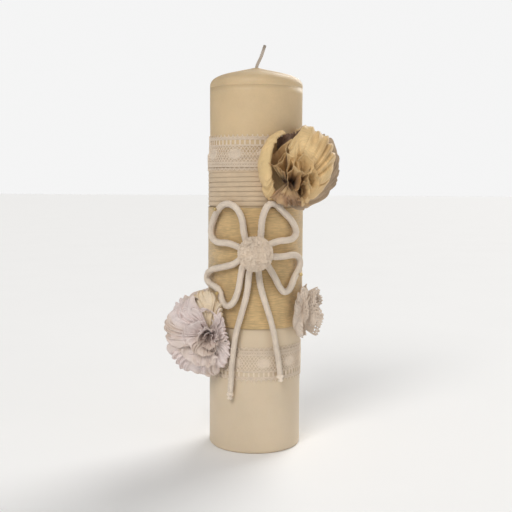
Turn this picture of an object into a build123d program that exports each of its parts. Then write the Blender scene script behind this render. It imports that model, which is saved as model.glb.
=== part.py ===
"""Decorated unity candle: a wax pillar dressed with ribbon, cord, lace, a cord bow and three flowers.

Millimetres. The origin is the centre of the candle's flat base, +Z is up and the front faces -Y.
A place on the dressed face is (across, height): across is measured round the face, to the right
of the front line, and height is above the base.
"""

from build123d import *
from math import cos, degrees, pi, radians, sin, tan
import os

# Wax pillar
WAX_R = 35.0
SIDE_HEIGHT = 274.0
CROWN_RISE = 12.5
SHOULDER_R = 4.0
FOOT_R = 2.0
TIP_R = 3.4

# Wick and its metal foot
WICK_R = 1.25
WICK_CLEARANCE = 0.15
WICK_STANDS = 18.0
WICK_LEAN = 20.0
WICK_BEND_R = 9.0
FOOT_DISC_R = 9.0
FOOT_DISC_THICK = 0.4
FOOT_COLLAR_R = 2.2
FOOT_COLLAR_HEIGHT = 6.0
FOOT_GAP = 0.1

# Bands round the wax; each stands off what is beneath it by SKIN_GAP
SKIN_GAP = 0.05
RIBBON_LOW = 94.0
RIBBON_WIDTH = 89.0
RIBBON_THICK = 1.2
LAP_ACROSS = 14.0
WRAP_TURNS = 11
WRAP_PITCH = 3.5
WRAP_THICK = 1.0
WRAP_CORD_WIDTH = 3.4
LACE_WIDTH = 26.0
LACE_THICK = 0.6
UPPER_LACE_LOW = 210.0
LOWER_LACE_LOW = 54.5
LACE_STEP_RISE = 1.6

# Cord bow
CORD_R = 2.4
CORD_GAP = 0.9
BOW_HEIGHT = 151.0
KNOT_DISC_R = 7.5
KNOT_DISC_THICK = 0.8
POMPOM_R = 12.0
POMPOM_GAP = 0.3
POMPOM_SEAT = 0.85
TIE_R = 1.6
END_KNOT_R = 3.0

# Bead-headed pins
PIN_R = 0.35
PIN_LENGTH = 16.0
PIN_HOLE_GAP = 0.05
BEAD_R = 1.4
BEAD_STANDS = 0.3

# Flowers: azimuth from the front, height of the centre, radius in the face, half depth, and
# how far the middle of the flower stands outside the wax
FLOWERS = {
    "organza_flower": dict(azimuth=44.0, height=213.2, radius=30.0, half_depth=28.0, stands=8.5, petals=6),
    "satin_flower": dict(azimuth=-62.0, height=90.5, radius=32.0, half_depth=20.8, stands=12.3, petals=7),
}
LACE_FLOWER = dict(azimuth=75.0, height=104.8, radius=21.5, half_depth=11.1, stands=6.3)
CORE_SHARE = 0.36
CURLS = 3
PETAL_GAP = 0.5
FLOWER_GAP = 0.3
FELT_R = 13.0
FELT_THICK = 1.0
AXIS_GAP_R = 0.6

# Each route is (across, height, lift), where lift is how far the cord arches off the face
UPPER_LEFT = [
    (-6.8, 158.8, 0.0), (-8.6, 165.2, 0.4), (-8.9, 172.2, 1.0), (-10.6, 178.9, 2.0),
    (-14.2, 184.2, 2.6), (-19.8, 186.4, 2.6), (-25.8, 184.6, 1.6), (-31.2, 180.0, 0.4),
    (-35.3, 174.4, 0.2), (-38.3, 168.2, 0.3), (-38.2, 162.2, 0.4), (-34.5, 158.4, 0.4),
    (-28.4, 157.1, 0.5), (-22.0, 157.6, 0.6), (-15.6, 156.2, 0.4), (-8.9, 153.2, 0.0),
]
UPPER_RIGHT = [
    (3.4, 159.6, 0.0), (4.1, 166.0, 0.5), (4.2, 173.2, 1.2), (5.8, 180.4, 1.8),
    (9.0, 186.2, 1.6), (14.0, 186.6, 0.8), (19.2, 181.6, 0.4), (25.8, 176.4, 0.4),
    (31.4, 170.6, 0.5), (33.8, 164.8, 0.6), (30.4, 160.4, 0.6), (23.6, 159.4, 0.7),
    (16.2, 159.4, 0.5), (8.4, 156.2, 0.0),
]
LOWER_LEFT = [
    (-9.6, 147.3, 0.0), (-14.2, 142.8, 0.2), (-20.6, 140.6, 0.4), (-28.6, 138.8, 0.6),
    (-37.2, 137.0, 0.6), (-43.8, 133.4, 0.6), (-44.8, 128.4, 0.6), (-39.6, 125.6, 0.5),
    (-33.2, 124.6, 0.3), (-28.0, 121.6, 0.2), (-26.4, 116.4, 0.4), (-24.2, 112.0, 0.7),
    (-19.8, 110.8, 1.0), (-15.6, 114.2, 1.0), (-12.9, 120.8, 0.7), (-11.4, 127.8, 0.3),
    (-10.6, 134.8, 0.0), (-8.9, 142.2, 0.0),
]
LOWER_RIGHT = [
    (9.9, 148.3, 0.0), (16.2, 147.5, 0.3), (23.0, 147.9, 0.5), (30.2, 148.9, 0.6),
    (36.8, 147.0, 0.6), (39.3, 141.8, 0.6), (36.6, 136.4, 0.4), (32.1, 131.8, 0.2),
    (29.5, 126.6, 0.3), (26.0, 122.2, 0.6), (21.6, 121.4, 0.9), (18.2, 125.0, 0.8),
    (15.5, 130.6, 0.4), (12.2, 136.8, 0.1), (7.8, 143.2, 0.0),
]
LEFT_TAIL = [
    (-3.6, 141.4, 0.0), (-4.9, 133.6, 0.2), (-5.2, 125.4, 0.4), (-7.2, 115.4, 0.4),
    (-10.4, 104.4, 0.2), (-14.0, 92.4, 0.2), (-16.2, 79.8, -0.3), (-17.7, 67.2, -0.4),
    (-18.1, 55.6, -0.4), (-18.9, 46.4, -0.4),
]
RIGHT_TAIL = [
    (2.2, 141.0, 0.0), (2.5, 133.4, 0.2), (4.0, 125.2, 0.4), (6.8, 115.8, 0.4),
    (10.6, 104.6, 0.2), (14.0, 92.6, 0.2), (16.3, 80.6, -0.3), (18.5, 69.8, -0.4),
    (19.7, 59.8, -0.4),
]
PIN_PLACES = [(-28.6, 181.9, 1.2), (-27.5, 120.4, 0.3), (34.4, 134.0, 0.4)]

RIBBON_OUT = WAX_R + SKIN_GAP + RIBBON_THICK
WRAP_LOW = RIBBON_LOW + RIBBON_WIDTH + 2 * SKIN_GAP
WRAP_HIGH = WRAP_LOW + WRAP_TURNS * WRAP_PITCH
WRAP_OUT = WAX_R + SKIN_GAP + WRAP_THICK
DRESSED_OUT = max(RIBBON_OUT, WRAP_OUT + SKIN_GAP + LACE_THICK)
CORD_LINE_R = RIBBON_OUT + CORD_GAP + CORD_R
TOP = SIDE_HEIGHT + CROWN_RISE


def face_point(across, height, radius):
    """The point at radius from the candle's axis that lies across the face and up it."""
    angle = across / CORD_LINE_R
    return Vector(radius * sin(angle), -radius * cos(angle), height)


def face_plane(azimuth, height, radius):
    """A plane that looks straight out of the face, its X level and its Y up."""
    a = radians(azimuth)
    out = Vector(sin(a), -cos(a), 0)
    return Plane(origin=out * radius + Vector(0, 0, height), x_dir=(cos(a), sin(a), 0), z_dir=out)


def ring(inner, outer, low, high):
    """A plain upright ring."""
    tall = high - low
    shape = Cylinder(outer, tall) - Cylinder(inner, tall)
    return Pos(0, 0, (low + high) / 2) * shape


def candle_body(pins):
    """The wax: a pillar with a rounded foot and a low crown that rises to the wick."""
    profile = make_face(
        Polyline(
            (0, 0), (WAX_R, 0), (WAX_R, SIDE_HEIGHT),
            (TIP_R, TOP - 1.2), (WICK_R + WICK_CLEARANCE + 0.4, TOP), (0, TOP), (0, 0),
        )
    )
    foot = profile.vertices().filter_by(lambda v: abs(v.X - WAX_R) < 1e-6 and v.Y < 1)
    profile = fillet(foot, FOOT_R).face()
    shoulder = profile.vertices().filter_by(lambda v: abs(v.X - WAX_R) < 1e-6 and v.Y > SIDE_HEIGHT - 1)
    profile = fillet(shoulder, SHOULDER_R).face()
    body = revolve(Plane.XZ * profile, Axis.Z)
    bore_r = WICK_R + WICK_CLEARANCE
    body -= Pos(0, 0, TOP / 2) * Cylinder(bore_r, TOP + 2)
    body -= Pos(0, 0, FOOT_DISC_THICK / 2) * Cylinder(FOOT_DISC_R + FOOT_GAP, FOOT_DISC_THICK)
    collar_top = FOOT_DISC_THICK + FOOT_COLLAR_HEIGHT
    body -= Pos(0, 0, collar_top / 2) * Cylinder(FOOT_COLLAR_R + FOOT_GAP, collar_top)
    return body - pins


def wick():
    """The plaited wick: straight up the bore, then leaning over above the crown."""
    bend_low = TOP + 0.6
    lean = radians(WICK_LEAN)
    turned = Vector(WICK_BEND_R * (1 - cos(lean)), 0, bend_low + WICK_BEND_R * sin(lean))
    straight = WICK_STANDS - WICK_BEND_R * lean
    path = Line((0, 0, FOOT_DISC_THICK), (0, 0, bend_low))
    path += CenterArc((WICK_BEND_R, 0, bend_low), WICK_BEND_R, 180, -WICK_LEAN).rotate(
        Axis((0, 0, bend_low), (1, 0, 0)), 90
    )
    path += Line(turned, turned + Vector(sin(lean), 0, cos(lean)) * straight)
    return sweep(Pos(0, 0, FOOT_DISC_THICK) * Circle(WICK_R), path=path)


def wick_foot():
    """The stamped metal foot: a thin disc, flush with the base, and a collar that grips the wick."""
    disc = Pos(0, 0, FOOT_DISC_THICK / 2) * Cylinder(FOOT_DISC_R, FOOT_DISC_THICK)
    middle = Pos(0, 0, FOOT_DISC_THICK + FOOT_COLLAR_HEIGHT / 2)
    collar = middle * Cylinder(FOOT_COLLAR_R, FOOT_COLLAR_HEIGHT) - middle * Cylinder(WICK_R, FOOT_COLLAR_HEIGHT)
    return disc + collar


def silk_ribbon(pins):
    """The wide ribbon, with its end lapped over and glued at the back."""
    high = RIBBON_LOW + RIBBON_WIDTH
    inner = WAX_R + SKIN_GAP
    band = ring(inner, RIBBON_OUT, RIBBON_LOW, high)
    lap = ring(inner, RIBBON_OUT + RIBBON_THICK / 2, RIBBON_LOW, high)
    behind = Pos(0, WAX_R, (RIBBON_LOW + high) / 2) * Box(LAP_ACROSS, WAX_R, RIBBON_WIDTH)
    return band + (lap & behind) - pins


def cord_wrap():
    """The flat cord wound round the wax above the ribbon, turn on turn, as level turns."""
    inner = WAX_R + SKIN_GAP
    turns = []
    for number in range(WRAP_TURNS):
        middle = WRAP_LOW + (number + 0.5) * WRAP_PITCH
        section = Pos(inner + WRAP_THICK / 2, middle) * RectangleRounded(
            WRAP_THICK, WRAP_CORD_WIDTH, WRAP_THICK * 0.45
        )
        turns.append(revolve(Plane.XZ * section, Axis.Z))
    return Compound(turns)


def upper_lace_band():
    """Cotton lace: its upper half lies on the wax and its lower half over the wound cord."""
    low, high = UPPER_LACE_LOW, UPPER_LACE_LOW + LACE_WIDTH
    over = WRAP_OUT + SKIN_GAP
    on_wax = WAX_R + SKIN_GAP
    step_low = WRAP_HIGH + SKIN_GAP
    step_high = step_low + LACE_STEP_RISE
    profile = make_face(
        Polyline(
            (over, low), (over + LACE_THICK, low), (over + LACE_THICK, step_low),
            (on_wax + LACE_THICK, step_high), (on_wax + LACE_THICK, high),
            (on_wax, high), (on_wax, step_high), (over, step_low), (over, low),
        )
    )
    return revolve(Plane.XZ * profile, Axis.Z)


def lower_lace_band():
    """The same lace the other way up, low on the wax."""
    inner = WAX_R + SKIN_GAP
    return ring(inner, inner + LACE_THICK, LOWER_LACE_LOW, LOWER_LACE_LOW + LACE_WIDTH)


def cord_tube(route, radius):
    """A round tube along a route: straight runs joined by arcs as large as the runs allow."""
    points = [face_point(across, height, CORD_LINE_R + lift) for across, height, lift in route]
    radii = []
    for before, here, after in zip(points, points[1:], points[2:]):
        turn = radians((here - before).get_angle(after - here))
        shorter = min((here - before).length, (after - here).length)
        radii.append(0.45 * shorter / tan(turn / 2))
    path = FilletPolyline(*points, radius=radii)
    start = Plane(origin=path @ 0, z_dir=path % 0)
    tube = sweep(start * Circle(radius), path=path)
    print("  length", round(path.length, 1), "volume over section times length",
          round(tube.volume / (pi * radius**2 * path.length), 3), "radii", [round(r, 1) for r in radii])
    return tube


def knot_disc():
    """The small felt disc that the cord ends and the pompom are stitched to."""
    low = RIBBON_OUT + SKIN_GAP
    shell = ring(low, low + KNOT_DISC_THICK, BOW_HEIGHT - KNOT_DISC_R, BOW_HEIGHT + KNOT_DISC_R)
    return shell & face_plane(0, BOW_HEIGHT, low) * Cylinder(KNOT_DISC_R, 10)


def pompom():
    """The wool pompom, trimmed flat where it sits on the cords."""
    seat_y = CORD_LINE_R + CORD_R + POMPOM_GAP
    centre = Pos(0, -(seat_y + POMPOM_R * POMPOM_SEAT), BOW_HEIGHT)
    behind = Pos(0, -seat_y + POMPOM_R, BOW_HEIGHT) * Box(4 * POMPOM_R, 2 * POMPOM_R, 4 * POMPOM_R)
    return centre * Sphere(POMPOM_R) - behind


def pompom_tie():
    """The bound thread that ties the pompom down to the felt disc, between the cord ends."""
    low = RIBBON_OUT + SKIN_GAP + KNOT_DISC_THICK
    high = CORD_LINE_R + CORD_R + POMPOM_GAP
    return face_plane(0, BOW_HEIGHT, (low + high) / 2) * Cylinder(TIE_R, high - low)


def end_knot(route):
    """The overhand knot that stops a tail's end."""
    (a0, h0, l0), (a1, h1, l1) = route[-2:]
    end = face_point(a1, h1, CORD_LINE_R + l1)
    along = (end - face_point(a0, h0, CORD_LINE_R + l0)).normalized()
    height = 1.7 * END_KNOT_R
    shape = Cylinder(END_KNOT_R, height)
    shape = fillet(shape.edges(), 0.4 * END_KNOT_R)
    return Plane(origin=end + along * height / 2, z_dir=along) * shape


def pin_planes():
    """Where each pin enters: a plane that looks out along it, at the cord's outer face."""
    outer = CORD_LINE_R + CORD_R
    return [
        face_plane(degrees(across / CORD_LINE_R), height, outer + lift)
        for across, height, lift in PIN_PLACES
    ]


def pin_shanks(radius):
    """The pins' steel shanks, at their own radius or at a hole's, up into the beads."""
    shape = Pos(0, 0, BEAD_STANDS + BEAD_R - PIN_LENGTH / 2) * Cylinder(radius, PIN_LENGTH)
    return [plane * shape for plane in pin_planes()]


def pin_beads(pins):
    """The gilt beads, drilled for the pins."""
    bead = Pos(0, 0, BEAD_STANDS + BEAD_R) * Sphere(BEAD_R)
    return [plane * bead - pins for plane in pin_planes()]


def flower_body(radius, half_depth):
    """The rounded space that a flower fills, as a turned half ellipse about its own axis."""
    edge = EllipticalCenterArc((0, 0), radius, half_depth, start_angle=-90, arc_size=180)
    half = make_face(edge + Line((0, half_depth), (0, -half_depth)))
    return revolve(Plane.XZ * half, Axis.Z)


def felt_disc(azimuth, height, seat):
    """The felt disc under a flower, curved to the face."""
    shell = ring(seat, seat + FELT_THICK, height - FELT_R, height + FELT_R)
    return shell & face_plane(azimuth, height, seat) * Cylinder(FELT_R, 2 * FELT_R)


def petal_flower(name, cord, azimuth, height, radius, half_depth, stands, petals):
    """A flower of folded petals round a core of rolled curls, as closed sectors clear of a cord."""
    seat = DRESSED_OUT + SKIN_GAP
    place = face_plane(azimuth, height, WAX_R + stands)
    whole = flower_body(radius, half_depth)
    core_r = CORE_SHARE * radius
    deep = 4 * half_depth
    inside = Cylinder(core_r, deep)
    outside = Cylinder(core_r + PETAL_GAP, deep)
    candle = Pos(0, 0, height) * Cylinder(seat + FELT_THICK + SKIN_GAP, 4 * radius)

    def sector(count, number):
        turn = 360 / count
        wedge = Cylinder(2 * radius, deep, arc_size=turn, align=(Align.NONE, Align.NONE, Align.CENTER))
        wedge -= Cylinder(AXIS_GAP_R, deep)
        for edge in (0, turn):
            wedge -= Rot(0, 0, edge) * Box(5 * radius, PETAL_GAP, 2 * deep)
        return Rot(0, 0, number * turn) * wedge

    nodes = {f"{name}_felt": felt_disc(azimuth, height, seat)}
    for number in range(petals):
        petal = place * (whole & sector(petals, number) - outside) - candle
        nodes[f"{name}_petal_{number + 1}"] = petal - cord
    for number in range(CURLS):
        nodes[f"{name}_curl_{number + 1}"] = place * (whole & sector(CURLS, number) & inside) - candle
    return nodes


def lace_flower(azimuth, height, radius, half_depth, stands):
    """A rosette of gathered lace: an outer ruffle, an inner ruffle and a felt disc."""
    seat = RIBBON_OUT + SKIN_GAP
    place = face_plane(azimuth, height, WAX_R + stands)
    whole = flower_body(radius, half_depth)
    core_r = 0.5 * radius
    candle = Pos(0, 0, height) * Cylinder(seat + FELT_THICK + SKIN_GAP, 4 * radius)
    tuft = Cylinder(core_r, 2 * half_depth)
    tuft = fillet(tuft.edges().sort_by(Axis.Z)[-1], 0.3 * core_r)
    return {
        "lace_flower_felt": felt_disc(azimuth, height, seat),
        "lace_flower_outer_ruffle": place * (whole - Cylinder(core_r + PETAL_GAP, 4 * radius)) - candle,
        "lace_flower_inner_ruffle": place * tuft - candle,
    }


def build():
    """Every node of the candle, by name."""
    holes = pin_shanks(PIN_R + PIN_HOLE_GAP)
    routes = {
        "bow_loop_upper_left": UPPER_LEFT,
        "bow_loop_upper_right": UPPER_RIGHT,
        "bow_loop_lower_left": LOWER_LEFT,
        "bow_loop_lower_right": LOWER_RIGHT,
        "bow_tail_left": LEFT_TAIL,
        "bow_tail_right": RIGHT_TAIL,
    }
    nodes = {
        "candle_body": candle_body(holes),
        "wick": wick(),
        "wick_foot": wick_foot(),
        "silk_ribbon": silk_ribbon(holes),
        "cord_wrap": cord_wrap(),
        "upper_lace_band": upper_lace_band(),
        "lower_lace_band": lower_lace_band(),
        "bow_knot_disc": knot_disc(),
        "pompom": pompom(),
        "pompom_tie": pompom_tie(),
        "tail_knot_left": end_knot(LEFT_TAIL),
        "tail_knot_right": end_knot(RIGHT_TAIL),
        "pin_shanks": Compound(pin_shanks(PIN_R)),
        "pin_beads": Compound(pin_beads(holes)),
    }
    for name, route in routes.items():
        print(name)
        nodes[name] = cord_tube(route, CORD_R) - holes
    beside = {"organza_flower": UPPER_RIGHT, "satin_flower": LOWER_LEFT}
    for name, sizes in FLOWERS.items():
        cord = cord_tube(beside[name], CORD_R + FLOWER_GAP)
        nodes.update(petal_flower(name, cord, **sizes))
    nodes.update(lace_flower(**LACE_FLOWER))
    return nodes


os.makedirs("parts", exist_ok=True)
for node, shape in build().items():
    export_step(shape if isinstance(shape, Compound) else Compound([shape]), f"parts/{node}.step")
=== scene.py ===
import math

import bpy
import numpy as np
from mathutils import Matrix, Vector


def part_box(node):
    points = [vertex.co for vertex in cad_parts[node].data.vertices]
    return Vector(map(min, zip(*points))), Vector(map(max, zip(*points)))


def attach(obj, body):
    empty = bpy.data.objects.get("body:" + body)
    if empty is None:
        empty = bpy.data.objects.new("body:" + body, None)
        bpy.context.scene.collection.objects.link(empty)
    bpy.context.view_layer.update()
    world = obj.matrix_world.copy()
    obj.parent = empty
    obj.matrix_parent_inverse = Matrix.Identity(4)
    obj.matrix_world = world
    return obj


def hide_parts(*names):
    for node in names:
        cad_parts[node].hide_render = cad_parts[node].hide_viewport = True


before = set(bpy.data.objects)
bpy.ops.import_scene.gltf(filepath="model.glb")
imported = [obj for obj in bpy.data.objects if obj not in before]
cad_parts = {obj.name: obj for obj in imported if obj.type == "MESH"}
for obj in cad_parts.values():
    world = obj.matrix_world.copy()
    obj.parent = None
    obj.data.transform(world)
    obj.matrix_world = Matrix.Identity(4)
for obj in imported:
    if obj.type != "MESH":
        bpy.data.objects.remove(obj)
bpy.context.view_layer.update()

bl_info = {
    "name": "Unity Candle",
    "version": (1, 0, 0),
    "blender": (4, 5, 0),
    "location": "View3D > Sidebar > Candle",
    "description": "Dresses a pillar candle with ribbon, cord, lace, a cord bow and fabric flowers",
    "category": "Add Mesh",
}

MM = 0.001
TURN = 2 * math.pi
FRONT_R = 39.55
CANDLE_CLEAR = 37.2
TEXTURE_STEP = 0.001
CORD_STEP = 0.00033
WAX_RADIUS = 35.0
RIBBON_RADIUS = 0.03602
RIBBON_LAP_RISE = 0.00058
WRAP_RADIUS = 0.03562
LACE_ON_WAX = 0.03536
LACE_OVER_WRAP = 0.03640
LACE_STEP_DOWN = 0.00103
LACE_PATTERN_HEIGHT = 26.0
OVAL_HEIGHT = 12.0
LOOP_GIRTH = 0.94
TAIL_GIRTH = 0.92
TAIL_TAPER = 0.14
TAFFETA_WEAVE = 0.42
TAFFETA_RISE = 0.00010
SATIN_WEAVE = 0.34
SATIN_RISE = 0.00006
LEAST_SHARE = 0.31

# The bow's routes: across the face, height and lift off the face, in metres
UPPER_LEFT = (
    (-0.0068, 0.1588, 0), (-0.0086, 0.1652, 0.0004), (-0.0089, 0.1722, 0.001),
    (-0.0106, 0.1789, 0.002), (-0.0142, 0.1842, 0.0026), (-0.0198, 0.1864, 0.0026),
    (-0.0258, 0.1846, 0.0016), (-0.0312, 0.18, 0.0004), (-0.0353, 0.1744, 0.0002),
    (-0.0383, 0.1682, 0.0003), (-0.0382, 0.1622, 0.0004), (-0.0345, 0.1584, 0.0004),
    (-0.0284, 0.1571, 0.0005), (-0.022, 0.1576, 0.0006), (-0.0156, 0.1562, 0.0004),
    (-0.0089, 0.1532, 0),
)
UPPER_RIGHT = (
    (0.0034, 0.1596, 0), (0.0041, 0.166, 0.0005), (0.0042, 0.1732, 0.0012),
    (0.0058, 0.1804, 0.0018), (0.009, 0.1862, 0.0016), (0.014, 0.1866, 0.0008),
    (0.0192, 0.1816, 0.0004), (0.0258, 0.1764, 0.0004), (0.0314, 0.1706, 0.0005),
    (0.0338, 0.1648, 0.0006), (0.0304, 0.1604, 0.0006), (0.0236, 0.1594, 0.0007),
    (0.0162, 0.1594, 0.0005), (0.0084, 0.1562, 0),
)
LOWER_LEFT = (
    (-0.0096, 0.1473, 0), (-0.0142, 0.1428, 0.0002), (-0.0206, 0.1406, 0.0004),
    (-0.0286, 0.1388, 0.0006), (-0.0372, 0.137, 0.0006), (-0.0438, 0.1334, 0.0006),
    (-0.0448, 0.1284, 0.0006), (-0.0396, 0.1256, 0.0005), (-0.0332, 0.1246, 0.0003),
    (-0.028, 0.1216, 0.0002), (-0.0264, 0.1164, 0.0004), (-0.0242, 0.112, 0.0007),
    (-0.0198, 0.1108, 0.001), (-0.0156, 0.1142, 0.001), (-0.0129, 0.1208, 0.0007),
    (-0.0114, 0.1278, 0.0003), (-0.0106, 0.1348, 0), (-0.0089, 0.1422, 0),
)
LOWER_RIGHT = (
    (0.0099, 0.1483, 0), (0.0162, 0.1475, 0.0003), (0.023, 0.1479, 0.0005),
    (0.0302, 0.1489, 0.0006), (0.0368, 0.147, 0.0006), (0.0393, 0.1418, 0.0006),
    (0.0366, 0.1364, 0.0004), (0.0321, 0.1318, 0.0002), (0.0295, 0.1266, 0.0003),
    (0.026, 0.1222, 0.0006), (0.0216, 0.1214, 0.0009), (0.0182, 0.125, 0.0008),
    (0.0155, 0.1306, 0.0004), (0.0122, 0.1368, 0.0001), (0.0078, 0.1432, 0),
)
LEFT_TAIL = (
    (-0.0036, 0.1414, 0), (-0.0049, 0.1336, 0.0002), (-0.0052, 0.1254, 0.0004),
    (-0.0072, 0.1154, 0.0004), (-0.0104, 0.1044, 0.0002), (-0.014, 0.0924, 0.0002),
    (-0.0162, 0.0798, -0.0003), (-0.0177, 0.0672, -0.0004), (-0.0181, 0.0556, -0.0004),
    (-0.0189, 0.0464, -0.0004),
)
RIGHT_TAIL = (
    (0.0022, 0.141, 0), (0.0025, 0.1334, 0.0002), (0.004, 0.1252, 0.0004),
    (0.0068, 0.1158, 0.0004), (0.0106, 0.1046, 0.0002), (0.014, 0.0926, 0.0002),
    (0.0163, 0.0806, -0.0003), (0.0185, 0.0698, -0.0004), (0.0197, 0.0598, -0.0004),
)
BOW_LOOPS = {
    "bow_loop_upper_left": (UPPER_LEFT, 0.098),
    "bow_loop_upper_right": (UPPER_RIGHT, 0.090),
    "bow_loop_lower_left": (LOWER_LEFT, 0.109),
    "bow_loop_lower_right": (LOWER_RIGHT, 0.086),
}
BOW_TAILS = {
    "bow_tail_left": (LEFT_TAIL, 0.097, "tail_knot_left"),
    "bow_tail_right": (RIGHT_TAIL, 0.083, "tail_knot_right"),
}


# ---------------------------------------------------------------- settings

def length(name, description, default):
    """A length that a user may set."""
    return bpy.props.FloatProperty(
        name=name, description=description, default=default, min=0, unit="LENGTH", precision=5
    )


def colour(name, description, default):
    """A colour that a user may set."""
    return bpy.props.FloatVectorProperty(
        name=name, description=description, default=default, size=3, min=0, max=1, subtype="COLOR"
    )


class CandleSizes(bpy.types.PropertyGroup):
    """Sizes of the visible pieces."""

    wax_radius: length("Wax radius", "Half the pillar's width", 0.035)
    wick_strand: length("Wick strand", "Radius of each of the wick's three strands", 0.00056)
    ribbon_low: length("Ribbon foot", "Height of the ribbon's lower edge", 0.094)
    ribbon_width: length("Ribbon width", "Width of the silk ribbon", 0.089)
    wrap_pitch: length("Wrap pitch", "Rise of the wound cord at each turn", 0.0035)
    upper_lace_low: length("Upper lace", "Height of the upper lace's lower edge", 0.210)
    lower_lace_low: length("Lower lace", "Height of the lower lace's lower edge", 0.0545)
    lace_width: length("Lace width", "Width of each lace band", 0.026)
    cord_diameter: length("Bow cord", "Diameter of the bow's cord", 0.0048)
    pompom_radius: length("Pompom radius", "Radius of the pompom's pile", 0.012)
    cloth_thickness: length("Cloth", "Thickness of the flowers' cloth", 0.00018)


class CandleColours(bpy.types.PropertyGroup):
    """Colours of the finishes."""

    wax: colour("Wax", "Ivory wax", (0.655, 0.492, 0.295))
    ribbon: colour("Ribbon", "Straw silk", (0.66, 0.46, 0.22))
    wrap: colour("Wound cord", "Ivory flat cord", (0.66, 0.51, 0.35))
    lace: colour("Lace", "Ivory lace thread", (0.82, 0.69, 0.55))
    bow: colour("Bow cord", "Soft white cord", (0.92, 0.78, 0.64))
    wool: colour("Wool", "Pompom wool", (0.97, 0.83, 0.68))
    gold: colour("Gold cloth", "The upper flower's cloth", (0.80, 0.57, 0.285))
    pearl: colour("Pearl cloth", "The lower flower's satin", (0.82, 0.71, 0.68))
    wick: colour("Wick", "Waxed cotton", (0.60, 0.53, 0.46))


# ---------------------------------------------------------------- curves and surfaces

def face_points(route):
    """Places on the dressed face as points: the angle round the axis is across over the face radius."""
    across, height, lift = np.array(route, float).T
    angle, radius = across / (FRONT_R * MM), FRONT_R * MM + lift
    return about_axis(radius, angle, height)


def about_axis(radius, angle, height):
    """Points at a radius, an angle from the front and a height."""
    return np.stack(np.broadcast_arrays(radius * np.sin(angle), -radius * np.cos(angle), height), -1)


def through(points, count):
    """A Catmull-Rom curve through the points: each span is a cubic with the neighbours' chords as slopes."""
    p = np.asarray(points, float)
    p = np.concatenate([2 * p[:1] - p[1:2], p, 2 * p[-1:] - p[-2:-1]])
    t = np.linspace(0, len(p) - 3 - 1e-9, count)
    i = t.astype(int)
    t = (t - i)[:, None]
    a, b, c, d = p[i], p[i + 1], p[i + 2], p[i + 3]
    return 0.5 * (2 * b + (c - a) * t + (2 * a - 5 * b + 4 * c - d) * t**2 + (3 * (b - c) + d - a) * t**3)


def evenly(points, count):
    """The same line with its points an equal distance apart."""
    run = np.concatenate([[0], np.cumsum(np.linalg.norm(np.diff(points, axis=0), axis=1))])
    at = np.linspace(0, run[-1], count)
    return np.stack([np.interp(at, run, points[:, k]) for k in range(3)], axis=1)


def unit(v):
    """Vectors at length one."""
    return v / np.maximum(np.linalg.norm(v, axis=-1, keepdims=True), 1e-12)


def smoothstep(x):
    """0 below 0, 1 above 1 and a smooth S between."""
    x = np.clip(x, 0, 1)
    return x * x * (3 - 2 * x)


def waves(seed, t, count=5, low=1.0, high=6.0):
    """A seeded sum of sines of t, between about -1 and 1, for unevenness."""
    rng = np.random.default_rng(seed)
    rate, phase, size = rng.uniform(low, high, count), rng.uniform(0, TURN, count), rng.uniform(0.5, 1, count)
    return (np.sin(rate * np.asarray(t)[..., None] * TURN + phase) * size).sum(-1) / size.sum() * 1.4


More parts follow.
